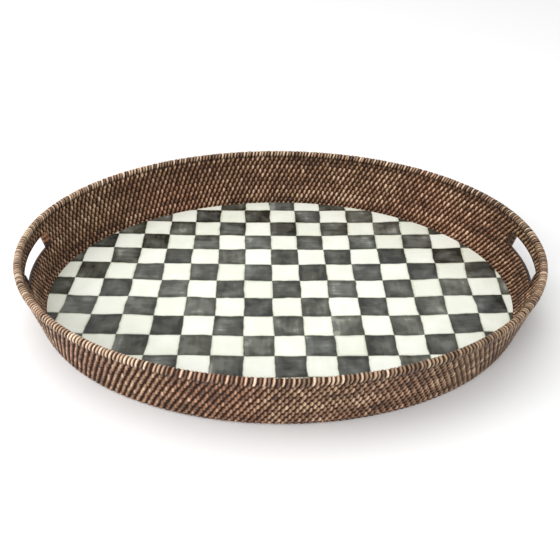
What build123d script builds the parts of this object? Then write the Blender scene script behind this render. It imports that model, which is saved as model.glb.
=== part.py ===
from build123d import *
import os
from math import asin, cos, degrees, radians, sin

# Oval coiled-rattan serving tray with an enamelled steel floor and two hand slots.
# Frame: origin on the ground under the middle of the tray, +X along its length,
# +Y across it, +Z up. All sizes are in millimetres.

os.makedirs("parts", exist_ok=True)

# ---- Driving dimensions ------------------------------------------------------

# The well is the oval that the foot of the wall leaves open at floor-panel height.
WELL_HALF_LENGTH = 284.4
WELL_HALF_WIDTH = 216.2

# The floor, from the ground up: board, bed of adhesive, panel.
BOARD_THICKNESS = 3.6
ADHESIVE_THICKNESS = 0.6
PANEL_THICKNESS = 1.5
PANEL_TOP = BOARD_THICKNESS + ADHESIVE_THICKNESS + PANEL_THICKNESS
BOARD_EDGE_INSET = 1.9
ADHESIVE_EDGE_INSET = 12.0
PANEL_EDGE_INSET = 1.3
PANEL_EDGE_RADIUS = 0.5
BOARD_EDGE_RADIUS = 0.8

# The wall: coils of round rod, each wrapped in strip, stacked up a flared line.
WALL_FLARE = 13.9
ROW_COUNT = 12
ROW_PITCH = 6.05
WRAP_RADIUS = 3.0
CORE_RADIUS = 2.2
WRAP_PLAY = 0.05
ROW_2_OUTWARD = 3.9
ROW_2_HEIGHT = PANEL_TOP + 2.93
BOTTOM_TUCK = 2.3

# The rim: a thicker wrapped rod on top of the last row.
RIM_WRAP_RADIUS = 4.0
RIM_CORE_RADIUS = 3.1

# The hand slots take the place of three rows at each end of the tray.
SLOT_LENGTH = 88.0
SLOT_ROWS = (8, 9, 10)
SILL_ROW = 7
LINTEL_ROW = 11
CAP_THICKNESS = 1.0
CAP_LEG_THICKNESS = 0.8
CAP_LEG_LENGTH = 7.0
CAP_PLAY = 0.3
ROW_END_PLAY = 0.9
BINDING_END_PLAY = 1.8
BINDING_WIDTH = 5.0
SILL_BINDING_THICKNESS = 0.9
LINTEL_BINDING_THICKNESS = 0.6

# Brads that pin the bottom coil to the edge of the board.
BRAD_COUNT = 16
BRAD_RADIUS = 0.6
BRAD_LENGTH = 14.0
BRAD_HEAD_RADIUS = 1.0
BRAD_HEAD_THICKNESS = 0.6
BRAD_HEIGHT = 2.0
BRAD_HEAD_INSET = 1.4

# A turn of rod is laid in four lengths, butted end to end under the wrapping.
LENGTHS_PER_TURN = 4
BUTT_START = 45.0
BUTT_GAP = 0.4

FULL_TURN = 360.0

# ---- Worked-out places -------------------------------------------------------

RISE_UP = cos(radians(WALL_FLARE))
RISE_OUT = sin(radians(WALL_FLARE))


def wall_place(row, along=0.0):
    """Outward offset from the well and height of a row's centre, shifted along the wall's slope."""
    climb = (row - 2) * ROW_PITCH + along
    return ROW_2_OUTWARD + climb * RISE_OUT, ROW_2_HEIGHT + climb * RISE_UP


def row_place(row):
    """The bottom row is tucked in under the second and rests on the ground."""
    if row == 1:
        return ROW_2_OUTWARD - BOTTOM_TUCK, WRAP_RADIUS
    return wall_place(row)


RIM_PLACE = wall_place(ROW_COUNT, WRAP_RADIUS + RIM_WRAP_RADIUS + WRAP_PLAY)


def turn_at(outward, y):
    """Angle, in degrees, at which an oval this far outside the well crosses y on the +X side."""
    return degrees(asin(y / (WELL_HALF_WIDTH + outward)))


def oval_arc(outward, height, start, turn):
    """The line along an oval, from a start angle through a turn."""
    with BuildLine(Plane.XY.offset(height)) as route:
        EllipticalCenterArc(
            (0, 0),
            WELL_HALF_LENGTH + outward,
            WELL_HALF_WIDTH + outward,
            start_angle=start,
            arc_size=turn,
        )
    return route.line


def outward_direction(outward, angle):
    """Level direction out of the wall at an angle of the oval."""
    return Vector(
        (WELL_HALF_WIDTH + outward) * cos(radians(angle)),
        (WELL_HALF_LENGTH + outward) * sin(radians(angle)),
        0,
    ).normalized()


def point_on_oval(outward, height, angle):
    return Vector(
        (WELL_HALF_LENGTH + outward) * cos(radians(angle)),
        (WELL_HALF_WIDTH + outward) * sin(radians(angle)),
        height,
    )


def write(piece, label):
    piece.part.label = label
    export_step(piece.part, f"parts/{label}.step")
    box = piece.part.bounding_box()
    print(label, "x", round(box.max.X, 1), "y", round(box.max.Y, 1),
          "z", round(box.min.Z, 2), "to", round(box.max.Z, 2))


# ---- Floor -------------------------------------------------------------------


def oval_sheet(label, inset, bottom, thickness, edge_radius):
    """A flat oval sheet whose upper edge is eased by edge_radius."""
    with BuildPart() as sheet:
        with BuildSketch(Plane.XY.offset(bottom)):
            Ellipse(WELL_HALF_LENGTH - inset, WELL_HALF_WIDTH - inset)
        extrude(amount=thickness)
        if edge_radius:
            fillet(sheet.edges().group_by(Axis.Z)[-1], radius=edge_radius)
    write(sheet, label)


oval_sheet("base_board", BOARD_EDGE_INSET, 0, BOARD_THICKNESS, BOARD_EDGE_RADIUS)
oval_sheet("adhesive_bed", ADHESIVE_EDGE_INSET, BOARD_THICKNESS, ADHESIVE_THICKNESS, None)
oval_sheet(
    "enamel_panel",
    PANEL_EDGE_INSET,
    BOARD_THICKNESS + ADHESIVE_THICKNESS,
    PANEL_THICKNESS,
    PANEL_EDGE_RADIUS,
)

# ---- Wall coils --------------------------------------------------------------


def coil(label, place, spans, outer_radius, inner_radius=None):
    """Round rods bent along spans of the oval; with an inner radius, the hollow wrapping of a rod."""
    routes = [oval_arc(*place, start, turn) for start, turn in spans]
    with BuildPart() as piece:
        for route in routes:
            with BuildSketch(Plane(origin=route @ 0, z_dir=route % 0)):
                Circle(outer_radius)
                if inner_radius:
                    Circle(inner_radius, mode=Mode.SUBTRACT)
            sweep(path=route)
    write(piece, label)


def butted_lengths(place, start, turn):
    """A turn cut into equal lengths of rod, with a hair's gap at every butt."""
    count = round(LENGTHS_PER_TURN * turn / FULL_TURN)
    gap = degrees(BUTT_GAP / (WELL_HALF_WIDTH + place[0]))
    return [(start + number * turn / count + gap / 2, turn / count - gap) for number in range(count)]


def wrapped_coil(suffix, place, start, turn):
    coil(f"wall_core_{suffix}", place, butted_lengths(place, start, turn), CORE_RADIUS)
    coil(f"wall_wrap_{suffix}", place, [(start, turn)], WRAP_RADIUS, CORE_RADIUS + WRAP_PLAY)


CUT_Y = SLOT_LENGTH / 2 + CAP_THICKNESS + ROW_END_PLAY

for row in range(1, ROW_COUNT + 1):
    place = row_place(row)
    if row in SLOT_ROWS:
        cut = turn_at(place[0], CUT_Y)
        half = FULL_TURN / 2 - 2 * cut
        wrapped_coil(f"{row:02d}_back", place, cut, half)
        wrapped_coil(f"{row:02d}_front", place, FULL_TURN / 2 + cut, half)
    else:
        wrapped_coil(f"{row:02d}", place, BUTT_START, FULL_TURN)

coil("rim_core", RIM_PLACE, butted_lengths(RIM_PLACE, BUTT_START, FULL_TURN), RIM_CORE_RADIUS)
coil("rim_wrap", RIM_PLACE, [(BUTT_START, FULL_TURN)], RIM_WRAP_RADIUS, RIM_CORE_RADIUS + WRAP_PLAY)

# ---- Hand slots --------------------------------------------------------------


def binding(label, row, side, thickness, middle_angle):
    """A flat strip along a slot's lower or upper edge, lying on a row's wrapping."""
    place = wall_place(row, side * (WRAP_RADIUS + WRAP_PLAY + thickness / 2))
    reach = turn_at(place[0], SLOT_LENGTH / 2 - BINDING_END_PLAY)
    route = oval_arc(*place, middle_angle - reach, 2 * reach)
    across = outward_direction(place[0], middle_angle - reach) * RISE_UP - Vector(0, 0, RISE_OUT)
    with BuildPart() as piece:
        with BuildSketch(Plane(origin=route @ 0, x_dir=across, z_dir=route % 0)):
            Rectangle(BINDING_WIDTH, thickness)
        sweep(path=route)
    write(piece, label)


def end_cap(label, x_side, y_side):
    """A strip folded over the cut ends of the rows, with a leg on each face of the wall."""
    outward, height = wall_place(SLOT_ROWS[1])
    angle = turn_at(outward, SLOT_LENGTH / 2 + CAP_THICKNESS) * y_side
    if x_side < 0:
        angle = FULL_TURN / 2 - angle
    level = outward_direction(outward, angle)
    upward = level * RISE_OUT + Vector(0, 0, RISE_UP)
    away = Vector(0, 0, 1).cross(level).normalized() * (x_side * y_side)
    corner = point_on_oval(outward, height, angle)
    rows_height = len(SLOT_ROWS) * ROW_PITCH - 2 * WRAP_PLAY
    leg_middle = WRAP_RADIUS + CAP_PLAY + CAP_LEG_THICKNESS / 2
    full_width = 2 * (leg_middle + CAP_LEG_THICKNESS / 2)
    with BuildPart() as cap:
        with BuildSketch(Plane(origin=corner, x_dir=away, z_dir=upward)) as profile:
            with Locations((-CAP_THICKNESS / 2, 0)):
                Rectangle(CAP_THICKNESS, full_width)
            with Locations((CAP_LEG_LENGTH / 2, leg_middle), (CAP_LEG_LENGTH / 2, -leg_middle)):
                Rectangle(CAP_LEG_LENGTH, CAP_LEG_THICKNESS)
        extrude(amount=rows_height / 2, both=True)
    write(cap, label)


for side_name, x_side, middle_angle in (("right", 1, 0.0), ("left", -1, FULL_TURN / 2)):
    binding(f"slot_sill_binding_{side_name}", SILL_ROW, 1, SILL_BINDING_THICKNESS, middle_angle)
    binding(f"slot_lintel_binding_{side_name}", LINTEL_ROW, -1, LINTEL_BINDING_THICKNESS, middle_angle)
    end_cap(f"slot_end_cap_{side_name}_back", x_side, 1)
    end_cap(f"slot_end_cap_{side_name}_front", x_side, -1)

# ---- Brads -------------------------------------------------------------------

with BuildPart() as brads:
    for number in range(BRAD_COUNT):
        angle = FULL_TURN * (number + 0.5) / BRAD_COUNT
        outward = row_place(1)[0]
        outwards = outward_direction(outward, angle)
        head = point_on_oval(outward, BRAD_HEIGHT, angle) + outwards * BRAD_HEAD_INSET
        with BuildSketch(Plane(origin=head, z_dir=-outwards)):
            Circle(BRAD_HEAD_RADIUS)
        extrude(amount=BRAD_HEAD_THICKNESS)
        with BuildSketch(Plane(origin=head, z_dir=-outwards)):
            Circle(BRAD_RADIUS)
        extrude(amount=BRAD_LENGTH)
write(brads, "board_brads")
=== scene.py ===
# %% [markdown]
# # An oval rattan tray with a painted floor
#
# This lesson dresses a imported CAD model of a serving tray. The real tray is a coil of
# round rod, stitched turn to turn with split rattan, that stands round a flat enamelled
# floor. The CAD model holds every size. Here each coil gets its real stitches, and each
# surface gets a finish made of shader nodes.

# %% Load the frame
import random
from math import atan2, cos, pi, radians, sin

import bmesh
import bpy
import numpy as np
from mathutils import Matrix, Vector


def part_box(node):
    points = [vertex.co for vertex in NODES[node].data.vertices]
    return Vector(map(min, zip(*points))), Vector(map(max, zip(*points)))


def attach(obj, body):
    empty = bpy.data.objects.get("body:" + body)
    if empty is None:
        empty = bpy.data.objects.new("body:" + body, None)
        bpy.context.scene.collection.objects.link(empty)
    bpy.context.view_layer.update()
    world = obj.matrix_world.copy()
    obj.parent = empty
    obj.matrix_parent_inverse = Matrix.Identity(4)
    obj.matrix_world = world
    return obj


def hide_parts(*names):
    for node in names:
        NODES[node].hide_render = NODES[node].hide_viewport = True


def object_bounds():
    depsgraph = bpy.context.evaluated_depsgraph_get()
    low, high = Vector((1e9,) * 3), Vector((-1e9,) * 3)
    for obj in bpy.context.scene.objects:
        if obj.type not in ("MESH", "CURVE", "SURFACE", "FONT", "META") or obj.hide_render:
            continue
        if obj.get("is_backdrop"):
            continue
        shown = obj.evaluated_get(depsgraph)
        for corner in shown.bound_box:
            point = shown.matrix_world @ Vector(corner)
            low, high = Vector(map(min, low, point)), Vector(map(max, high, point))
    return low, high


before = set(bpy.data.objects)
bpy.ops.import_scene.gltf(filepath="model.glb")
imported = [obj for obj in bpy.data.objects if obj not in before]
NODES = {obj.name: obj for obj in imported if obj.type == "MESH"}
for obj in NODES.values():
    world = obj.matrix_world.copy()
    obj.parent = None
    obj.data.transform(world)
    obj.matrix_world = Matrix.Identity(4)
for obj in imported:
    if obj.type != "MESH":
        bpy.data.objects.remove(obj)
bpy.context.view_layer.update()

MM = 0.001

# %% [markdown]
# ## Where the coils run
#
# Every coil is an oval at one height, and the CAD box of its wrapping says all there is
# to know: half the length, half the width, the height, and the thickness of the roll.
# Three coils are cut by the hand slots, so their boxes say too little. They sit at even
# steps between the whole coils below and above, and are worked out from those.

# %% Read the coils from the frame
SILL_ROW, LINTEL_ROW, TOP_ROW = 7, 11, 12
CUT_ROWS = (8, 9, 10)


def oval_of(node):
    """Half length, half width and height of the centre line of a round coil, and its radius."""
    low, high = (np.array(corner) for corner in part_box(node))
    radius = (high[2] - low[2]) / 2
    return np.array([(high[0] - low[0]) / 2 - radius, (high[1] - low[1]) / 2 - radius,
                     (high[2] + low[2]) / 2]), radius


coils = {row: oval_of(f"wall_wrap_{row:02d}")[0]
         for row in range(1, TOP_ROW + 1) if row not in CUT_ROWS}
for row in CUT_ROWS:
    climb = (row - SILL_ROW) / (LINTEL_ROW - SILL_ROW)
    coils[row] = coils[SILL_ROW] * (1 - climb) + coils[LINTEL_ROW] * climb
RIM_ROW = TOP_ROW + 1
coils[RIM_ROW], rim_radius = oval_of("rim_wrap")
wrap_radius = oval_of("wall_wrap_02")[1]
rod_radius = oval_of("wall_core_02")[1]
rim_rod_radius = oval_of("rim_core")[1]
print("wrap", wrap_radius, "rod", rod_radius, "rim", rim_radius, "rim rod", rim_rod_radius)

# %% [markdown]
# ## A place on the wall
#
# A stitch needs a place to stand and a direction to lean back on. The place is found by
# distance round the oval, not by angle, so that stitches keep an even spacing where the
# oval bends hard. The three axes are: along the coil, out through the wall, and up the
# wall's slope. The slope is read from the coil below.

# %% Places on the wall
STATIONS = 1440             # places at which an oval is measured
FULL_TURN = 2 * pi


def walk_round(oval):
    """Angles round an oval, and the distance travelled at each."""
    turns = np.linspace(0, FULL_TURN, STATIONS + 1)
    steps = np.hypot(oval[0] * np.diff(np.cos(turns)), oval[1] * np.diff(np.sin(turns)))
    return turns, np.concatenate([[0], np.cumsum(steps)])


def oval_length(oval):
    return float(walk_round(oval)[1][-1])


def angle_at(oval, share):
    """Angle of the oval after a share, from 0 to 1, of the way round it."""
    turns, travelled = walk_round(oval)
    return np.interp(np.asarray(share) % 1.0 * travelled[-1], travelled, turns)


def share_at(oval, angle):
    """The share of the way round at which an oval reaches an angle."""
    turns, travelled = walk_round(oval)
    return float(np.interp(angle % FULL_TURN, turns, travelled / travelled[-1]))


def slope_below(row):
    """Lean of the wall, from upright, between a row and the one below; row 1 takes row 3's."""
    row = row if row > 1 else 3
    lower, upper = coils[row - 1], coils[row]
    return atan2(upper[0] - lower[0], upper[2] - lower[2])


def place_on(oval, lean, angle):
    """Frame whose X runs along the coil, Y out through the wall and Z up its slope."""
    spot = Vector((oval[0] * cos(angle), oval[1] * sin(angle), oval[2]))
    level = Vector((oval[1] * cos(angle), oval[0] * sin(angle), 0)).normalized()
    upright = Vector((0, 0, 1))
    out = level * cos(lean) - upright * sin(lean)
    up = level * sin(lean) + upright * cos(lean)
    along = out.cross(up)
    frame_here = Matrix((along, out, up)).transposed().to_4x4()
    frame_here.translation = spot
    return frame_here


print("perimeters mm", [round(oval_length(coils[row]) / MM) for row in coils])

# %% [markdown]
# ## One stitch
#
# A stitch is a half-round strip of rattan peel that goes over the new rod and down both
# faces of the wall, and dives into the coil below between two of its stitches. Its
# section is a face of five corners, flat where it lies on the rod and crowned outside,
# because a crown catches the light along its middle and a flat band would not.
# `spin` turns that face over the top of the rod, and `extrude_discrete_faces` draws it
# down each face of the wall in three short steps: out over the rod, into the valley
# between two coils, and out of sight. The strip winds like a screw thread, so each side
# is then sheared the opposite way. Modelled once and copied some three thousand times, it
# has to stay under a few dozen faces.

# %% Model a stitch
STRIP_WIDTH = 4.5 * MM
STRIP_OUTLINE = ((-0.5, 0.0), (0.5, 0.0), (0.38, 0.78), (0.0, 1.3), (-0.38, 0.78))   # in widths, thicknesses
WINDING = 0.27              # sideways travel of the strip for each unit it drops
ARCH_STEPS = 4
NEARLY_LEVEL = 1e-6         # height under which a point counts as level with the rod's middle
row_pitch = float(np.hypot(coils[6][0] - coils[5][0], coils[6][2] - coils[5][2]))
strip_thickness = wrap_radius - rod_radius
seat = row_pitch / 2 / rod_radius    # how far an arch is drawn up to reach the next coil


def strip_section(bm, rod, thickness, width):
    """The strip's cut end, lying on the outer side of the rod."""
    return bm.faces.new([bm.verts.new((x * width, rod + y * thickness, 0)) for x, y in STRIP_OUTLINE])


def draw_leg(bm, tip, side, steps):
    """Pulls a strip's end down the wall: each step drops, draws in and narrows it."""
    for drop, draw_in, narrow in steps:
        tip = bmesh.ops.extrude_discrete_faces(bm, faces=[tip])["faces"][0]
        bmesh.ops.translate(bm, verts=tip.verts, vec=(0, -side * draw_in, -drop))
        middle = tip.calc_center_median()
        bmesh.ops.scale(bm, verts=tip.verts, vec=(narrow, 1, 1), space=Matrix.Translation(-middle))


def lay_fibres(bm, rod, width):
    """UV map: U climbs the strip, in metres from where it bulges most, and V crosses it."""
    fibres = bm.loops.layers.uv.new("fibres")
    for face in bm.faces:
        for loop in face.loops:
            x, y, z = loop.vert.co
            climb = rod * atan2(z, abs(y)) if z > 0 else z
            loop[fibres].uv = (climb, 0.5 + x / width)


def wind(bm, rod, stretch):
    """Lifts the arch to the seat of the next coil, and winds the two sides as one turn of a helix."""
    arch = [v for v in bm.verts if v.co.z > NEARLY_LEVEL]
    bmesh.ops.scale(bm, verts=arch, vec=(1, 1, stretch))
    from_top = Matrix.Translation((0, 0, -rod * stretch))
    for side in (1, -1):
        leaning = Matrix.Identity(4)
        leaning[0][2] = -side * WINDING
        verts = [v for v in bm.verts if v.co.y * side > 0]
        bmesh.ops.transform(bm, matrix=leaning, verts=verts, space=from_top)


def keep_model(name, bm):
    bmesh.ops.recalc_face_normals(bm, faces=bm.faces)
    mesh = bpy.data.meshes.new(name)
    bm.to_mesh(mesh)
    bm.free()
    print(name, "faces", len(mesh.polygons))
    return mesh


def stitch(name, rod, thickness, width, leg_steps, stretch=1.0):
    """A strip over the top of a rod with two legs, as a mesh."""
    bm = bmesh.new()
    start = strip_section(bm, rod, thickness, width)
    arch = bmesh.ops.spin(bm, geom=[start], cent=(0, 0, 0), axis=(1, 0, 0), angle=pi,
                          steps=ARCH_STEPS, use_merge=False)
    end = next(item for item in arch["geom_last"] if isinstance(item, bmesh.types.BMFace))
    draw_leg(bm, start, 1, leg_steps)
    draw_leg(bm, end, -1, leg_steps)
    lay_fibres(bm, rod, width)
    wind(bm, rod, stretch)
    return keep_model(name, bm)


# Each step of a leg: how far it drops, how far it draws in, and how much it narrows.
wall_leg = ((0.32 * row_pitch, 0.28 * MM, 0.96), (0.26 * row_pitch, 0.60 * MM, 0.80),
            (0.26 * row_pitch, 1.1 * MM, 0.6))
wall_stitch = stitch("wall_stitch", rod_radius, strip_thickness, STRIP_WIDTH, wall_leg, seat)
sill_stitch = stitch("sill_stitch", rod_radius, strip_thickness, STRIP_WIDTH, wall_leg)

# %% [markdown]
# ## Stitches that go right round
#
# The bottom coil has nothing below it, and over a hand slot neither has the coil of the
# grip. There the strip goes right round one rod. That is a full spin of the section's
# outline, with its doubles merged.

# %% Model a closed stitch
RING_STEPS = 10


def ring_stitch(name, rod, thickness, width, stretch):
    bm = bmesh.new()
    outline = strip_section(bm, rod, thickness, width)
    edges, verts = list(outline.edges), list(outline.verts)
    bmesh.ops.delete(bm, geom=[outline], context="FACES_ONLY")
    bmesh.ops.spin(bm, geom=edges + verts, cent=(0, 0, 0), axis=(1, 0, 0), angle=FULL_TURN,
                   steps=RING_STEPS, use_merge=True)
    lay_fibres(bm, rod, width)
    wind(bm, rod, stretch)
    return keep_model(name, bm)


closed_stitch = ring_stitch("closed_stitch", rod_radius, strip_thickness, STRIP_WIDTH, seat)

# %% [markdown]
# ## Sewing a row
#
# Each stitch of a row is a copy of the model stitch, moved to its place, with a little
# play in width, lean and position, because hands and plants are never even. A strip of
# peel is long enough for a few dozen stitches, and its colour changes where the next
# strip takes over. So a tone is drawn for each strip, and every stitch of it strays
# slightly from that. The tone is kept as an attribute for the shader.

# %% Sew rows of stitches
STITCHES_PER_TURN = 240
STRIP_RUN = (18, 70)        # fewest and most stitches that one strip of peel makes
MIDDLE_TONE, STRIP_TONE_SPREAD, STITCH_TONE_SPREAD = 0.5, 0.08, 0.10
PLACE_PLAY = 0.045          # spread of a stitch's place, in stitches
WIDTH_PLAY, THICKNESS_PLAY, LEAN_PLAY = 0.06, 0.015, 0.06


def within(value, low, high):
    return min(max(value, low), high)


def strip_tones(count, draw):
    """A tone for each stitch, from 0 to 1, in runs that are one strip long."""
    tones, tone, left = [], MIDDLE_TONE, 0
    for _ in range(count):
        if left == 0:
            tone = within(draw.gauss(MIDDLE_TONE, STRIP_TONE_SPREAD), 0.05, 0.95)
            left = draw.randint(*STRIP_RUN)
        tones.append(within(tone + draw.gauss(0, STITCH_TONE_SPREAD), 0, 1))
        left -= 1
    return tones


def finish_piece(name, bm, material, replaced):
    """Turns a bmesh into a shown piece that rides on the tray and stands for CAD nodes."""
    mesh = bpy.data.meshes.new(name)
    bm.to_mesh(mesh)
    bm.free()
    mesh.shade_smooth()
    mesh.materials.append(material)
    piece = bpy.data.objects.new(name, mesh)
    bpy.context.collection.objects.link(piece)
    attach(piece, "root")
    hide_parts(*replaced)


def add_copy(bm, model, place, tone):
    """Adds a mesh to a piece, moved to its place, with one tone all over."""
    tone_layer = bm.verts.layers.float["tone"]
    before = len(bm.verts)
    bm.from_mesh(model)
    bm.verts.ensure_lookup_table()
    copies = bm.verts[before:]
    bmesh.ops.transform(bm, matrix=place, verts=copies)
    for vert in copies:
        vert[tone_layer] = tone


def sew(bm, row, model, stitches, draw):
    """Copies the model stitch to each share of the way round a row, with its tone."""
    oval, lean = coils[row], slope_below(row)
    spacing = 1.0 / STITCHES_PER_TURN
    angles = angle_at(oval, [share + draw.gauss(0, PLACE_PLAY) * spacing for share, tone in stitches])
    for angle, (share, tone) in zip(angles, stitches):
        own = Matrix.Diagonal((1 + draw.gauss(0, WIDTH_PLAY), 1 + draw.gauss(0, THICKNESS_PLAY), 1, 1))
        own[0][2] = draw.gauss(0, LEAN_PLAY)
        add_copy(bm, model, place_on(oval, lean, angle) @ own, tone)


def blank_piece():
    bm = bmesh.new()
    bm.verts.layers.float.new("tone")
    bm.loops.layers.uv.new("fibres")
    return bm


print("stitch pitch mm", round(oval_length(coils[6]) / STITCHES_PER_TURN / MM, 2))

# %% [markdown]
# ## A finish for rattan peel
#
# Split peel is a long-fibred skin under dark stain. It is paler along its crown and darker
# at its edges: partly wear and stain, and partly a painted highlight along the crown and
# painted shade at the edges. Painted shade darkens the foot of each stitch, where the strip
# dives into the coil below, and on the wall painted shade darkens the top, where the strip
# crosses its rod, so every stitch reads as a grain of its own. The UV map's U tells how
# far up or down the strip a point is. The colour is picked by the stitch's tone, pushed
# by all of these and by streaks that run along the fibres, and the same streaks raise a
# fine bump. The peel is lacquered thinly, so it has a satin gloss.

# %% Node helpers
def new_material(name):
    material = bpy.data.materials.new(name)
    material.use_nodes = True
    tree = material.node_tree
    return material, tree, tree.nodes["Principled BSDF"]


def node(tree, kind, inputs=None, **settings):
    """Adds a node; inputs are values or sockets, by name or number."""
    made = tree.nodes.new(kind)
    for key, value in settings.items():
        setattr(made, key, value)
    for key, value in (inputs or {}).items():
        if isinstance(value, bpy.types.NodeSocket):
            tree.links.new(value, made.inputs[key])
        else:
            made.inputs[key].default_value = value
    return made


def sums(tree, operation, *values, clamp=False):
    made = node(tree, "ShaderNodeMath", dict(enumerate(values)), operation=operation, use_clamp=clamp)
    return made.outputs[0]


def noise(tree, vector, scale, detail=2.0, roughness=0.5):
    made = node(tree, "ShaderNodeTexNoise", {"Vector": vector, "Scale": scale, "Detail": detail,
                                             "Roughness": roughness})
    return made.outputs["Fac"]


def vectors(tree, operation, first, second):
    return node(tree, "ShaderNodeVectorMath", {0: first, 1: second}, operation=operation).outputs[0]


def stretched(tree, vector, scale):
    return vectors(tree, "MULTIPLY", vector, scale)


def ramp(tree, value, stops):
    made = node(tree, "ShaderNodeValToRGB", {"Fac": value})
    made.color_ramp.interpolation = "EASE"
    while len(made.color_ramp.elements) < len(stops):
        made.color_ramp.elements.new(1.0)
    for element, (position, colour) in zip(made.color_ramp.elements, stops):
        element.position, element.color = position, (*colour, 1)
    return made.outputs["Color"]


def remap(tree, value, low, high, to_low, to_high):
    return node(tree, "ShaderNodeMapRange", {"Value": value, "From Min": low, "From Max": high,
                                             "To Min": to_low, "To Max": to_high}).outputs[0]


def mix_colours(tree, factor, first, second, blend="MIX"):
    made = tree.nodes.new("ShaderNodeMix")
    made.data_type, made.blend_type = "RGBA", blend
    for socket, value in ((made.inputs[0], factor), (made.inputs[6], first), (made.inputs[7], second)):
        if isinstance(value, bpy.types.NodeSocket):
            tree.links.new(value, socket)
        else:
            socket.default_value = value
    return made.outputs[2]


def dress(tree, shader, colour, roughness):
    tree.links.new(colour, shader.inputs["Base Color"])
    tree.links.new(roughness, shader.inputs["Roughness"])


def raise_relief(tree, shader, height, strength, depth):
    """Bump from a height, as deep as the depth in metres where the height goes from 0 to 1."""
    bump = node(tree, "ShaderNodeBump", {"Height": height, "Strength": strength, "Distance": depth})
    tree.links.new(bump.outputs[0], shader.inputs["Normal"])


# %% Stained rattan peel
FOOT_SHADE_LOW, FOOT_SHADE_HIGH = -3.9 * MM, -1.4 * MM       # climbs between which the painted shade of the foot fades
TOP_START, TOP_END = 1.7 * MM, 3.3 * MM     # climbs between which the painted shade of the top sets in; on the rim it is a slight painted highlight
LACQUER_IOR = 1.5


def rattan_peel(name, stops, roughness, top_shade):
    """Stained peel; top_shade paints shade on the strip where it crosses the rod, or a highlight where it is
    above zero.
    """
    material, tree, shader = new_material(name)
    fibres = node(tree, "ShaderNodeUVMap", uv_map="fibres").outputs[0]
    spot = node(tree, "ShaderNodeTexCoord").outputs["Object"]
    tone = node(tree, "ShaderNodeAttribute", attribute_name="tone").outputs["Fac"]
    climb, across = node(tree, "ShaderNodeSeparateXYZ", {0: fibres}).outputs[:2]
    shifted = node(tree, "ShaderNodeCombineXYZ", {0: tone, 1: tone, 2: tone}).outputs[0]
    streaks = noise(tree, vectors(tree, "ADD", stretched(tree, fibres, (180, 9, 1)), shifted), 1.6, 3.0, 0.6)
    weather = noise(tree, spot, 16.0, 3.0, 0.55)
    hue = noise(tree, spot, 7.0, 2.0, 0.5)
    off_middle = sums(tree, "ABSOLUTE", remap(tree, across, 0, 1, -1, 1))
    picked = sums(tree, "ADD", tone, remap(tree, streaks, 0.3, 0.7, -0.14, 0.14))
    picked = sums(tree, "ADD", picked, remap(tree, weather, 0.3, 0.7, -0.16, 0.16))
    # Paler crown and darker edges: partly wear and stain, partly a painted highlight along the crown and
    # painted shade at the edges.
    picked = sums(tree, "ADD", picked, remap(tree, off_middle, 0.05, 0.9, 0.17, -0.34))
    # Painted shade at the foot of the stitch, where it dives into the valley below.
    picked = sums(tree, "ADD", picked, remap(tree, climb, FOOT_SHADE_LOW, FOOT_SHADE_HIGH, -0.5, 0.03))
    # Painted light on the top of the strip, where it crosses its rod: painted shade on the wall, a slight
    # painted highlight on the rim.
    picked = sums(tree, "ADD", picked, remap(tree, climb, TOP_START, TOP_END, 0.0, top_shade), clamp=True)
    stain = ramp(tree, hue, ((0.36, (1.06, 0.93, 0.92)),
                             (0.5, (1.0, 1.0, 1.0)),
                             (0.64, (0.96, 1.02, 0.98))))
    dress(tree, shader, mix_colours(tree, 1.0, ramp(tree, picked, stops), stain, "MULTIPLY"),
          remap(tree, streaks, 0.3, 0.7, roughness - 0.08, roughness + 0.12))
    raise_relief(tree, shader, streaks, 0.35, 0.2 * MM)
    shader.inputs["IOR"].default_value = LACQUER_IOR
    return material


DARK_PEEL = ((0.0, (0.030, 0.011, 0.004)),
             (0.35, (0.13, 0.057, 0.024)),
             (0.65, (0.31, 0.173, 0.095)),
             (1.0, (0.68, 0.49, 0.34)))
RIM_PEEL = ((0.0, (0.040, 0.018, 0.009)),
            (0.35, (0.19, 0.105, 0.058)),
            (0.65, (0.44, 0.285, 0.18)),
            (1.0, (0.85, 0.68, 0.52)))
RED_PEEL = ((0.0, (0.020, 0.006, 0.003)),
            (0.35, (0.07, 0.022, 0.009)),
            (0.65, (0.22, 0.080, 0.036)),
            (1.0, (0.42, 0.20, 0.10)))
# Every peel carries the painted crown highlight and the painted shade at its edges and foot. The wall's peel
# adds painted shade on the top, and the rim's adds a slight painted highlight there.
wall_peel = rattan_peel("stained_peel_painted_light_and_shade", DARK_PEEL, 0.42, -0.3)
rim_peel = rattan_peel("pale_rim_peel_painted_light", RIM_PEEL, 0.38, 0.05)
slot_peel = rattan_peel("red_slot_peel", RED_PEEL, 0.55, 0.0)
print("peel finishes", wall_peel.name, rim_peel.name, slot_peel.name)

# %% [markdown]
# ## The wall
#
# Each row starts half a stitch ahead of the one below, because a strip has to dive
# between two stitches, and that makes a pattern of bricks. The stitches lean the same way
# as one of the pattern's two diagonals, so seen along the wall they run up it in ropes.
# Rows 8 to 10 stop at the hand slots, and row 11 is sewn with closed stitches over them.

# %% Find the slots
slot_reach_y = -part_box("slot_end_cap_right_front")[1][1]
cut_reach_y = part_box("wall_wrap_08_back")[0][1]


def reach_angle(row, reach):
    """Angle at which a row, on its way round from +X, gets this far across the tray."""
    return float(np.arcsin(reach / coils[row][1]))


def off_end(oval, share, angle):
    """True where a place lies farther than an angle from the tray's two narrow ends."""
    turn = float(angle_at(oval, share)) % pi
    return angle < turn < pi - angle


print("slot half length mm", round(slot_reach_y / MM, 1), "rows cut at", round(cut_reach_y / MM, 1))

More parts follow.
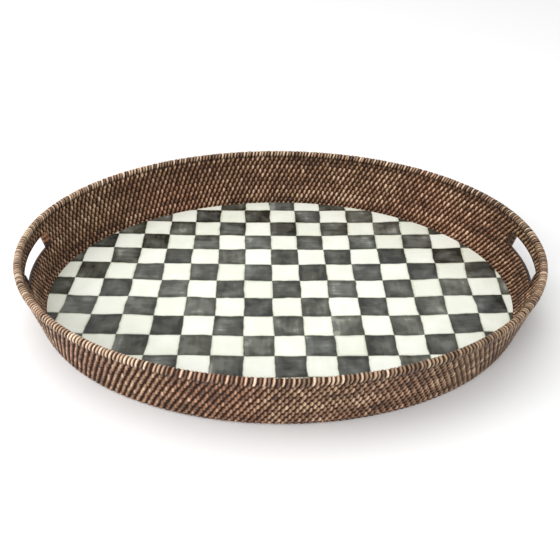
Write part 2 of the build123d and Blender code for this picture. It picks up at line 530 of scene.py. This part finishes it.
# %% Sew the wall
BRICK_STEP = 0.5            # stitches by which each row starts ahead of the one below
FIRST_SEED = 100            # a row's own random draws start from this plus its number
END_ROOM = 0.4 * STRIP_WIDTH    # bare rod kept beyond the last stitch at a slot


def row_shares(row, count):
    """Shares of the way round for a row's stitches, stepped on from the rows below."""
    return ((np.arange(count) + row * BRICK_STEP) / count) % 1.0


for row in range(1, TOP_ROW + 1):
    draw = random.Random(FIRST_SEED + row)
    oval = coils[row]
    stitches = list(zip(row_shares(row, STITCHES_PER_TURN), strip_tones(STITCHES_PER_TURN, draw)))
    lengths = [("", stitches)]
    if row in CUT_ROWS:
        cut = reach_angle(row, cut_reach_y) + END_ROOM / oval[0]
        kept = [one for one in stitches if off_end(oval, one[0], cut)]
        lengths = [("_back", [one for one in kept if one[0] < 0.5]),
                   ("_front", [one for one in kept if one[0] >= 0.5])]
    over_slot = reach_angle(row, slot_reach_y)
    for suffix, sewn in lengths:
        bm = blank_piece()
        at_slot = [one for one in sewn if not off_end(oval, one[0], over_slot)]
        away = [one for one in sewn if off_end(oval, one[0], over_slot)]
        if row == 1:
            sew(bm, row, closed_stitch, sewn, draw)
        elif row == LINTEL_ROW:
            sew(bm, row, closed_stitch, at_slot, draw)
            sew(bm, row, wall_stitch, away, draw)
        elif row == SILL_ROW:
            sew(bm, row, sill_stitch, at_slot, draw)
            sew(bm, row, wall_stitch, away, draw)
        else:
            sew(bm, row, wall_stitch, sewn, draw)
        finish_piece(f"wall_stitches_{row:02d}{suffix}", bm, wall_peel,
                     [f"wall_wrap_{row:02d}{suffix}"])
print("rows sewn", TOP_ROW)

# %% [markdown]
# ## The rim
#
# The rim is a thicker rod, wrapped with two strips side by side, one fresher and paler
# than the other. The left end is painted paler than the right, as painted light from the
# left. The turns lie close at the tray's two narrow ends. At the front and back they stand
# wider apart, and there dark gaps show. One dark splice, where a wrapping strip gives way
# to the next, sits on the front. The rim is made turn by turn with the same kind of
# stitch, because a single long ribbon would give every turn the same width and lean.

# %% Wrap the rim
RIM_CLOSE, RIM_OPEN = 3.7 * MM, 4.6 * MM
RIM_STRIP_WIDTH = 3.4 * MM
RIM_SEED = 7
RIM_TONE, RIM_LEFT_LIGHT = 0.45, 0.1              # middle tone, and how much paler the left end is painted, as painted light from the left
RIM_ALTERNATION, RIM_TONE_SPREAD = 0.18, 0.14
RIM_SPACING_SPREAD = 0.16
SPLICE_X, SPLICE_REACH, SPLICE_TONE = 17.8 * MM, 4 * MM, 0.16
rim_oval = coils[RIM_ROW]
rim_gap = float(np.hypot(rim_oval[0] - coils[TOP_ROW][0], rim_oval[2] - coils[TOP_ROW][2]))
rim_leg = ((0.42 * rim_gap, 0.40 * MM, 0.96), (0.30 * rim_gap, 0.60 * MM, 0.85),
           (0.18 * rim_gap, 1.2 * MM, 0.6))
rim_stitch = stitch("rim_stitch", rim_rod_radius, rim_radius - rim_rod_radius, RIM_STRIP_WIDTH, rim_leg)

draw = random.Random(RIM_SEED)
rim_length = oval_length(rim_oval)
rim_strips, travelled = [], 0.0
while travelled < rim_length - RIM_CLOSE / 2:
    share = travelled / rim_length
    turn = share * FULL_TURN
    paler = 0.5 + 0.5 * sin(turn * 3 + 0.2)
    other = 1 if len(rim_strips) % 2 else -1
    # The left end is painted paler and the right end darker, as painted light from the left.
    left_lit_tone = RIM_TONE - RIM_LEFT_LIGHT * cos(turn)
    tone = left_lit_tone + other * RIM_ALTERNATION * paler + draw.gauss(0, RIM_TONE_SPREAD)
    rim_strips.append((share, within(tone, 0, 1)))
    swing = 0.5 - 0.4 * cos(turn * 2) + 0.2 * sin(turn * 13 + 2.1)
    swing = within(swing + draw.gauss(0, RIM_SPACING_SPREAD), 0, 1)
    travelled += RIM_CLOSE + (RIM_OPEN - RIM_CLOSE) * swing
splice = share_at(rim_oval, 1.5 * pi + SPLICE_X / rim_oval[0])
rim_strips = [(share, SPLICE_TONE if abs(share - splice) < SPLICE_REACH / rim_length else tone)
              for share, tone in rim_strips]
bm = blank_piece()
sew(bm, RIM_ROW, rim_stitch, rim_strips, draw)
finish_piece("rim_wrapping", bm, rim_peel, ["rim_wrap"])
print("rim strips", len(rim_strips))

# %% [markdown]
# ## The rods inside
#
# Between the stitches the rods show as dark stained wood, painted darker still as painted
# shade in the gaps. Sewing squeezes them until they touch, so their section is a circle
# drawn out up and down the wall. `create_circle` makes the section, and
# `extrude_edge_only` carries it from place to place round the oval. Over a hand slot the
# side that faces the slot stays round.

# %% Bend the rods
ROD_SIDES = 10
ROD_STEPS, FEWEST_STEPS = 240, 8     # round a whole turn, and at the least


def carry(bm, section, oval, lean, start, stop, steps):
    """Extrudes a ring of edges, drawn in the Y-Z plane, along the oval, and closes both ends."""
    turns = np.linspace(start, stop, steps + 1)
    places = [place_on(oval, lean, float(turn)) for turn in turns]
    ring = list(section)
    verts = list({vert for edge in ring for vert in edge.verts})
    bmesh.ops.transform(bm, matrix=places[0], verts=verts)
    bmesh.ops.contextual_create(bm, geom=ring)
    for before, after in zip(places, places[1:]):
        made = bmesh.ops.extrude_edge_only(bm, edges=ring)["geom"]
        verts = [item for item in made if isinstance(item, bmesh.types.BMVert)]
        moved = set(verts)
        ring = [item for item in made if isinstance(item, bmesh.types.BMEdge)
                and item.verts[0] in moved and item.verts[1] in moved]
        bmesh.ops.transform(bm, matrix=after @ before.inverted(), verts=verts)
    bmesh.ops.contextual_create(bm, geom=ring)


def round_section(bm, radius, low, high):
    """A circle in the Y-Z plane, drawn out below and above."""
    verts = bmesh.ops.create_circle(bm, segments=ROD_SIDES, radius=radius,
                                    matrix=Matrix.Rotation(pi / 2, 4, "Y"))["verts"]
    bmesh.ops.scale(bm, verts=[v for v in verts if v.co.z > NEARLY_LEVEL], vec=(1, 1, high / radius))
    bmesh.ops.scale(bm, verts=[v for v in verts if v.co.z < -NEARLY_LEVEL], vec=(1, 1, low / radius))
    return list({edge for vert in verts for edge in vert.link_edges})


def lay_rod(name, row, spans, radius, material, replaced):
    """A turn of rod, as lengths that run from angle to angle with a reach below and above."""
    bm = bmesh.new()
    for start, stop, low, high in spans:
        steps = max(FEWEST_STEPS, round(ROD_STEPS * (stop - start) / FULL_TURN))
        carry(bm, round_section(bm, radius, low, high), coils[row], slope_below(row), start, stop, steps)
    bmesh.ops.recalc_face_normals(bm, faces=bm.faces)
    finish_piece(name, bm, material, replaced)


def rod_finish():
    material, tree, shader = new_material("stained_rod_gap_shade")
    spot = node(tree, "ShaderNodeTexCoord").outputs["Object"]
    grain = noise(tree, stretched(tree, spot, (60, 60, 900)), 1.0, 3.0, 0.6)
    # Near-black brown: the rod's own stain, darkened further as painted shade in the gaps between stitches.
    dress(tree, shader, ramp(tree, grain, ((0.3, (0.022, 0.009, 0.004)), (0.7, (0.060, 0.026, 0.012)))),
          remap(tree, grain, 0.3, 0.7, 0.85, 0.65))
    raise_relief(tree, shader, grain, 0.3, 0.2 * MM)
    shader.inputs["Specular IOR Level"].default_value = 0.15
    return material


stained_rod_gap_shade = rod_finish()
half_pitch = row_pitch / 2
for row in range(1, TOP_ROW + 1):
    low = rod_radius if row == 1 else half_pitch
    edge = reach_angle(row, slot_reach_y)
    name = f"wall_rod_{row:02d}"
    if row in CUT_ROWS:
        cut = reach_angle(row, cut_reach_y)
        for suffix, start in (("_back", cut), ("_front", pi + cut)):
            lay_rod(name + suffix, row, [(start, start + pi - 2 * cut, low, half_pitch)], rod_radius,
                    stained_rod_gap_shade, [f"wall_core_{row:02d}{suffix}"])
    else:
        at_slot = {SILL_ROW: (low, rod_radius), LINTEL_ROW: (rod_radius, half_pitch)}
        reaches = at_slot.get(row, (low, half_pitch))
        spans = [(-edge, edge, *reaches), (edge, pi - edge, low, half_pitch),
                 (pi - edge, pi + edge, *reaches), (pi + edge, FULL_TURN - edge, low, half_pitch)]
        lay_rod(name, row, spans, rod_radius, stained_rod_gap_shade, [f"wall_core_{row:02d}"])
quarters = [(pi / 4 + pi / 2 * number, pi / 4 + pi / 2 * (number + 1), rim_gap - half_pitch, rim_rod_radius)
            for number in range(4)]
lay_rod("rim_rod", RIM_ROW, quarters, rim_rod_radius, stained_rod_gap_shade, ["rim_core"])
print("rods laid", TOP_ROW + 1)

# %% [markdown]
# ## The hand slots
#
# A flat strip lies along the lower and the upper edge of each slot. At the slot's two
# ends, each of the three cut rods is capped by a short strap that runs in along one face
# of the wall, round the cut end, and back along the other face. At the back end of the
# left slot the straps are the reddest peel on the tray, and at the other three they are
# as dark as the wall. Half a turn of `spin` makes the bend of a strap.

# %% Trim the hand slots
EDGE_STRIP_WIDTH, EDGE_STRIP_THICKNESS, EDGE_STRIP_EASE = 3.6 * MM, 0.8 * MM, 0.35 * MM
EDGE_STRIP_STEPS = 24
DARKEST_TONE = 0.0


def soft_rectangle(bm, size_y, size_z, ease):
    """A flat strip's end in the Y-Z plane, with its corners eased."""
    corners = bmesh.ops.create_grid(bm, x_segments=1, y_segments=1, size=0.5,
                                    matrix=Matrix.Rotation(pi / 2, 4, "Y"))["verts"]
    bmesh.ops.scale(bm, verts=corners, vec=(1, size_y, size_z))
    bmesh.ops.bevel(bm, geom=corners, offset=ease, segments=2, profile=0.5, affect="VERTICES",
                    material=-1)
    return next(iter(bm.faces))


def edge_strip(name, node_name, row, side, middle):
    """A flat strip along a slot's edge, as long as its CAD node, above or below a row."""
    low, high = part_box(node_name)
    reach = reach_angle(row, (high[1] - low[1]) / 2)
    lean = slope_below(row)
    climb = side * (wrap_radius + EDGE_STRIP_THICKNESS / 2)
    oval = coils[row] + np.array([sin(lean), sin(lean), cos(lean)]) * climb
    bm = blank_piece()
    face = soft_rectangle(bm, EDGE_STRIP_WIDTH, EDGE_STRIP_THICKNESS, EDGE_STRIP_EASE)
    section = list(face.edges)
    bmesh.ops.delete(bm, geom=[face], context="FACES_ONLY")
    carry(bm, section, oval, lean, middle - reach, middle + reach, EDGE_STRIP_STEPS)
    bmesh.ops.recalc_face_normals(bm, faces=bm.faces)
    tone, fibres = bm.verts.layers.float["tone"], bm.loops.layers.uv["fibres"]
    for vert in bm.verts:
        vert[tone] = DARKEST_TONE
    for face in bm.faces:
        for loop in face.loops:
            loop[fibres].uv = (loop.vert.co.y, 0.5)
    finish_piece(name, bm, slot_peel, [node_name])


for side_name, middle in (("right", 0.0), ("left", pi)):
    edge_strip(f"sill_strip_{side_name}", f"slot_sill_binding_{side_name}", SILL_ROW, 1, middle)
    edge_strip(f"lintel_strip_{side_name}", f"slot_lintel_binding_{side_name}", LINTEL_ROW, -1, middle)

# %% Model a strap
STRAP_THICKNESS, STRAP_HEIGHT, STRAP_EASE = 0.8 * MM, 5.5 * MM, 0.3 * MM
STRAP_BEND = wrap_radius + 0.35 * MM
STRAP_LEG = 5.4 * MM
STRAP_STEPS = 8


def strap_model():
    """A strap that caps a cut rod: X points away from the slot."""
    part = bmesh.new()
    face = soft_rectangle(part, STRAP_THICKNESS, STRAP_HEIGHT, STRAP_EASE)
    bmesh.ops.translate(part, verts=part.verts, vec=(STRAP_BEND, STRAP_BEND, 0))
    bent = bmesh.ops.spin(part, geom=[face], cent=(STRAP_BEND, 0, 0), axis=(0, 0, 1), angle=pi,
                          steps=STRAP_STEPS, use_merge=False)
    last = next(item for item in bent["geom_last"] if isinstance(item, bmesh.types.BMFace))
    for tip in (face, last):
        tip = bmesh.ops.extrude_discrete_faces(part, faces=[tip])["faces"][0]
        bmesh.ops.translate(part, verts=tip.verts, vec=(STRAP_LEG, 0, 0))
    fibres = part.loops.layers.uv.new("fibres")
    for face in part.faces:
        for loop in face.loops:
            loop[fibres].uv = (loop.vert.co.x + loop.vert.co.y, 0.5 + loop.vert.co.z / STRAP_HEIGHT)
    return keep_model("strap", part)


rod_strap = strap_model()

# %% Cap the cut rods
RED_CAP_TONES = {8: 0.12, 9: 0.6, 10: 0.72}
DARK_CAP_TONE, CAP_TONE_SPREAD = 0.25, 0.06
CAP_SEED = 31
draw = random.Random(CAP_SEED)

for x_side, side_name in ((1, "right"), (-1, "left")):
    for y_side, end_name in ((1, "back"), (-1, "front")):
        bm = blank_piece()
        red = (side_name, end_name) == ("left", "back")
        for row in CUT_ROWS:
            angle = reach_angle(row, slot_reach_y) * y_side
            angle = angle if x_side > 0 else pi - angle
            place = place_on(coils[row], slope_below(row), angle)
            if x_side * y_side > 0:
                place = place @ Matrix.Rotation(pi, 4, "Z")
            tone = RED_CAP_TONES[row] if red else DARK_CAP_TONE
            add_copy(bm, rod_strap, place, tone + draw.gauss(0, CAP_TONE_SPREAD))
        bmesh.ops.recalc_face_normals(bm, faces=bm.faces)
        finish_piece(f"rod_caps_{side_name}_{end_name}", bm, slot_peel if red else wall_peel,
                     [f"slot_end_cap_{side_name}_{end_name}"])
print("slots trimmed")

# %% [markdown]
# ## The painted floor
#
# The floor is steel under glassy enamel. A square grid was brushed on by hand in charcoal
# and ivory: the sides of the squares wander, the brush leaves streaks one way or the
# other, charcoal thins to grey in the middle of a square and gathers at its sides, and
# ivory is warm where it is thin. All of it is worked out from the position on the panel.

# %% Paint the floor
SQUARE = 35.0 * MM
GRID_CORNER = (-10.8 * MM, -15.5 * MM)      # a corner of the grid near the panel's middle
GRID_TURN = radians(-0.4)


def stray(tree, spot):
    """How far the painter's lines stray from a true grid, in squares, at a place on the panel.

    The upright lines lean towards the front and open out towards the two ends of the
    tray. The level lines sag at the ends and stand wide apart in the middle.
    """
    squares = stretched(tree, spot, (1 / SQUARE, 1 / SQUARE, 0))
    x, y = node(tree, "ShaderNodeSeparateXYZ", {0: squares}).outputs[:2]

    def ratio_squared(value, reach):
        return sums(tree, "POWER", sums(tree, "ABSOLUTE", sums(tree, "DIVIDE", value, reach)), 2.0)

    lean = sums(tree, "MULTIPLY", sums(tree, "MULTIPLY", y, 0.011),
                sums(tree, "SUBTRACT", ratio_squared(x, 2.9), 1.0))
    away = sums(tree, "ADD", ratio_squared(x, 5.5), ratio_squared(y, 4.1))
    spread = sums(tree, "MULTIPLY", sums(tree, "MULTIPLY", x, 0.015), sums(tree, "SUBTRACT", away, 1.0))
    sag = sums(tree, "MULTIPLY", ratio_squared(x, 1.0), 0.0035)
    sag = sums(tree, "SUBTRACT", sag, 0.042)
    wide = sums(tree, "MULTIPLY", sums(tree, "MULTIPLY", y, 0.024),
                sums(tree, "SUBTRACT", 1.0, ratio_squared(y, 4.6)))
    return node(tree, "ShaderNodeCombineXYZ", {0: sums(tree, "ADD", lean, spread),
                                               1: sums(tree, "ADD", sag, wide)}).outputs[0]


def unsteady(tree, grid, scale, reach):
    """A small random shift in the plane of the panel, in squares, of no more than a reach."""
    wander = node(tree, "ShaderNodeTexNoise", {"Vector": grid, "Scale": scale, "Detail": 2.0})
    centred = vectors(tree, "ADD", wander.outputs["Color"], (-0.5, -0.5, -0.5))
    return stretched(tree, centred, (2 * reach, 2 * reach, 0))


# %% Mix the enamel
HAND_DRIFT = (0.7, 0.09)    # how many times a square the hand wavers, and by how many squares
HAND_SHAKE = (3.2, 0.02)
PAINTER_SEED = 3.0
ENAMEL_IOR = 1.5
TURNED_SHARE = 0.45         # share of the squares that are brushed upright
OUTLINE = (0.060, 0.064, 0.046, 1)      # olive grey where two paints overlap


def enamel_finish():
    material, tree, shader = new_material("brushed_check_enamel")
    spot = node(tree, "ShaderNodeTexCoord").outputs["Object"]
    grid = node(tree, "ShaderNodeMapping", {"Vector": spot, "Location": (*GRID_CORNER, 0),
                                            "Rotation": (0, 0, GRID_TURN), "Scale": (SQUARE, SQUARE, 1)},
                vector_type="TEXTURE").outputs[0]
    grid = vectors(tree, "SUBTRACT", grid, stray(tree, spot))
    brushed = vectors(tree, "ADD", grid, unsteady(tree, grid, *HAND_DRIFT))
    brushed = vectors(tree, "ADD", brushed, unsteady(tree, grid, *HAND_SHAKE))
    cell = node(tree, "ShaderNodeVectorMath", {0: brushed}, operation="FLOOR").outputs[0]
    inside = node(tree, "ShaderNodeVectorMath", {0: brushed}, operation="FRACTION").outputs[0]
    cell_x, cell_y = node(tree, "ShaderNodeSeparateXYZ", {0: cell}).outputs[:2]
    in_x, in_y = node(tree, "ShaderNodeSeparateXYZ", {0: inside}).outputs[:2]
    parity = sums(tree, "FLOORED_MODULO", sums(tree, "ADD", cell_x, cell_y), 2.0)
    square = node(tree, "ShaderNodeCombineXYZ", {0: cell_x, 1: cell_y, 2: PAINTER_SEED}).outputs[0]
    luck = node(tree, "ShaderNodeTexWhiteNoise", {"Vector": square}, noise_dimensions="3D")
    luck_a, luck_b, luck_c = node(tree, "ShaderNodeSeparateColor", {0: luck.outputs["Color"]}).outputs[:3]
    margin_x = sums(tree, "MINIMUM", in_x, sums(tree, "SUBTRACT", 1.0, in_x))
    margin_y = sums(tree, "MINIMUM", in_y, sums(tree, "SUBTRACT", 1.0, in_y))
    margin = sums(tree, "MINIMUM", margin_x, margin_y)
    level_strokes = noise(tree, stretched(tree, brushed, (0.8, 7.0, 1)), 1.0, 3.0, 0.55)
    upright_strokes = noise(tree, stretched(tree, brushed, (7.0, 0.8, 1)), 1.0, 3.0, 0.55)
    level = sums(tree, "GREATER_THAN", luck_a, TURNED_SHARE)
    strokes = node(tree, "ShaderNodeMix", {0: level, 2: upright_strokes, 3: level_strokes}).outputs[0]
    pools = noise(tree, brushed, 1.5, 2.0, 0.5)
    thin = sums(tree, "ADD", remap(tree, strokes, 0.35, 0.65, -0.10, 0.10),
                remap(tree, pools, 0.3, 0.7, -0.35, 0.35))
    thin = sums(tree, "ADD", thin, remap(tree, luck_b, 0, 1, 0.2, 0.65))
    lift_off = sums(tree, "MULTIPLY", remap(tree, in_x, 0.05, 0.28, 0.5, 0.0),
                    remap(tree, luck_c, 0.4, 1, 0, 1))
    thin = sums(tree, "ADD", thin, lift_off)
    thin = sums(tree, "ADD", thin, remap(tree, margin, 0.0, 0.2, -0.3, 0.05), clamp=True)
    charcoal = ramp(tree, thin, ((0.0, (0.016, 0.017, 0.013)),
                                 (0.35, (0.058, 0.059, 0.048)),
                                 (0.75, (0.125, 0.130, 0.112)),
                                 (1.0, (0.27, 0.28, 0.245))))
    wash = sums(tree, "ADD", remap(tree, strokes, 0.35, 0.65, -0.03, 0.03),
                remap(tree, pools, 0.3, 0.7, -0.12, 0.12))
    wash = sums(tree, "ADD", wash, remap(tree, luck_c, 0, 1, 0.7, 1.0))
    wash = sums(tree, "ADD", wash, remap(tree, margin, 0.0, 0.12, -0.4, 0.0), clamp=True)
    ivory = ramp(tree, wash, ((0.0, (0.40, 0.42, 0.32)),
                              (0.35, (0.61, 0.63, 0.51)),
                              (0.7, (0.78, 0.80, 0.69)),
                              (1.0, (0.86, 0.87, 0.79))))
    cast = mix_colours(tree, luck_a, (1.04, 1.02, 0.95, 1), (0.96, 0.98, 1.03, 1))
    charcoal = mix_colours(tree, 1.0, charcoal, cast, "MULTIPLY")
    paint = mix_colours(tree, parity, charcoal, ivory)
    overlap = sums(tree, "MULTIPLY", remap(tree, margin, 0.0, 0.03, 0.95, 0.0),
                   remap(tree, pools, 0.35, 0.65, 1.0, 0.25))
    paint = mix_colours(tree, overlap, paint, OUTLINE)
    dress(tree, shader, paint, remap(tree, strokes, 0.3, 0.7, 0.12, 0.24))
    relief = sums(tree, "ADD", sums(tree, "MULTIPLY", strokes, 0.5), sums(tree, "MULTIPLY", parity, -0.3))
    raise_relief(tree, shader, relief, 0.2, 0.2 * MM)
    shader.inputs["IOR"].default_value = ENAMEL_IOR
    return material


def give(node_name, material):
    """Puts a finish on a CAD node."""
    piece = NODES[node_name]
    piece.data.materials.clear()
    piece.data.materials.append(material)


give("enamel_panel", enamel_finish())
print("check square mm", round(SQUARE / MM, 1))

# %% [markdown]
# ## The board, the glue and the brads
#
# These hide under the floor. The board is stained plywood, which shows only from below.

# %% Finish the hidden pieces
def board_finish():
    material, tree, shader = new_material("stained_plywood")
    spot = node(tree, "ShaderNodeTexCoord").outputs["Object"]
    wave = noise(tree, stretched(tree, spot, (5, 55, 5)), 1.0, 4.0, 0.6)
    pores = noise(tree, stretched(tree, spot, (60, 900, 60)), 1.0, 2.0, 0.6)
    grain = sums(tree, "ADD", sums(tree, "MULTIPLY", wave, 0.75), sums(tree, "MULTIPLY", pores, 0.25))
    colour = ramp(tree, grain, ((0.3, (0.040, 0.019, 0.010)),
                                (0.5, (0.085, 0.043, 0.022)),
                                (0.7, (0.150, 0.082, 0.043))))
    dress(tree, shader, colour, remap(tree, pores, 0.3, 0.7, 0.5, 0.7))
    raise_relief(tree, shader, grain, 0.3, 0.3 * MM)
    return material


def glue_finish():
    material, tree, shader = new_material("dried_glue")
    spot = node(tree, "ShaderNodeTexCoord").outputs["Object"]
    ripple = noise(tree, spot, 60.0, 3.0)
    dress(tree, shader, ramp(tree, ripple, ((0.3, (0.50, 0.42, 0.27)), (0.7, (0.62, 0.54, 0.38)))),
          remap(tree, ripple, 0.3, 0.7, 0.3, 0.5))
    return material


def wire_finish():
    material, tree, shader = new_material("bright_wire")
    spot = node(tree, "ShaderNodeTexCoord").outputs["Object"]
    scratches = noise(tree, spot, 900.0, 3.0)
    dress(tree, shader, ramp(tree, scratches, ((0.3, (0.38, 0.38, 0.37)), (0.7, (0.56, 0.56, 0.55)))),
          remap(tree, scratches, 0.3, 0.7, 0.25, 0.42))
    shader.inputs["Metallic"].default_value = 1.0
    return material


give("base_board", board_finish())
give("adhesive_bed", glue_finish())
give("board_brads", wire_finish())
print("CAD nodes kept", ["enamel_panel", "base_board", "adhesive_bed", "board_brads"])

# %% [markdown]
# ## Floor, light and camera
#
# The tray stands on a pale floor in an evenly bright room, as in a product studio. Three
# big soft lamps add shape: one overhead, a key at the front left and one at the left
# side. Nothing shines from behind the tray, because the enamel would mirror it as a haze.
# The camera looks down a little over a third of the way from level to straight down, and
# stands slightly left of the middle.

# %% Set the stage
FLOOR_REACH = 6.0
FLOOR_COLOUR, FLOOR_ROUGHNESS = (0.9, 0.9, 0.9, 1), 0.9
ROOM_STRENGTH = 0.74


def pale_floor():
    bm = bmesh.new()
    bmesh.ops.create_grid(bm, x_segments=1, y_segments=1, size=FLOOR_REACH)
    mesh = bpy.data.meshes.new("studio_floor")
    bm.to_mesh(mesh)
    bm.free()
    floor = bpy.data.objects.new("studio_floor", mesh)
    bpy.context.collection.objects.link(floor)
    material, tree, shader = new_material("pale_floor")
    shader.inputs["Base Color"].default_value = FLOOR_COLOUR
    shader.inputs["Roughness"].default_value = FLOOR_ROUGHNESS
    mesh.materials.append(material)
    floor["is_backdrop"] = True


def soft_light(name, place, aim, size, power):
    lamp = bpy.data.lights.new(name, "AREA")
    lamp.shape, lamp.size, lamp.energy = "DISK", size, power
    lit = bpy.data.objects.new(name, lamp)
    lit.location = place
    lit.rotation_euler = (Vector(aim) - Vector(place)).to_track_quat("-Z", "Y").to_euler()
    bpy.context.collection.objects.link(lit)


pale_floor()
world = bpy.data.worlds.new("studio")
world.use_nodes = True
background = world.node_tree.nodes["Background"]
background.inputs["Color"].default_value = (1, 1, 1, 1)
background.inputs["Strength"].default_value = ROOM_STRENGTH
bpy.context.scene.world = world
bpy.context.scene.view_settings.view_transform = "Standard"
soft_light("overhead", place=(-0.6, 0.2, 2.7), aim=(0, 0.1, 0), size=2.6, power=28)
soft_light("key", place=(-1.1, -2.1, 1.6), aim=(0, 0, 0), size=1.4, power=26)
soft_light("side", place=(-2.2, -0.4, 1.3), aim=(-0.2, 0, 0), size=1.4, power=19)

# %% Place the camera
AZIMUTH, ELEVATION, ROLL = radians(1.95), radians(35.8), radians(0.99)
DISTANCE = 0.950
AIM = Vector((-0.0005, 0.028, 0.0))
LENS, SENSOR = 48.06, 36.0
camera_data = bpy.data.cameras.new("camera")
camera_data.lens, camera_data.sensor_width = LENS, SENSOR
camera = bpy.data.objects.new("camera", camera_data)
look = Vector((sin(AZIMUTH) * cos(ELEVATION), cos(AZIMUTH) * cos(ELEVATION), -sin(ELEVATION)))
camera.location = AIM - look * DISTANCE
upright_view = look.to_track_quat("-Z", "Y").to_matrix()
camera.rotation_euler = (upright_view @ Matrix.Rotation(ROLL, 3, "Z")).to_euler()
bpy.context.collection.objects.link(camera)
bpy.context.scene.camera = camera
print("camera at", [round(v, 3) for v in camera.location])

# %% Measure the visual box
low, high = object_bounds()
print("visual box", [round(v, 4) for v in (*low, *high)])
